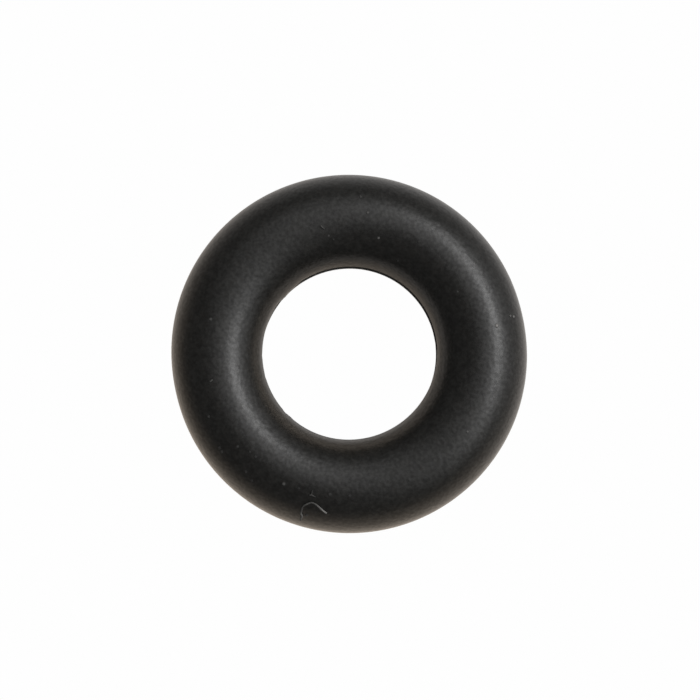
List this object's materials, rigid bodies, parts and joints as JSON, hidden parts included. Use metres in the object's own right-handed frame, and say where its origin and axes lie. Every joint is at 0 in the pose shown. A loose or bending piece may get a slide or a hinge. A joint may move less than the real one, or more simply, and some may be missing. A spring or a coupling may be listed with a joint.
{
  "type": "rubber o-ring",
  "caption": "Moulded black rubber ring of round section that seals a shaft or a joint when squeezed in a groove.",
  "frame": {"origin": "centre of the ring, on its parting plane", "axes": "+Z along the ring's axis, up as it lies flat; +X to the picture's right and +Y to its top"},
  "size_m": [0.0094, 0.0094, 0.0024],
  "materials": {
    "rubber": "matte black moulded rubber with a fine grain"
  },
  "bodies": {
    "root": {"o_ring": "rubber"}
  },
  "joints": []
}
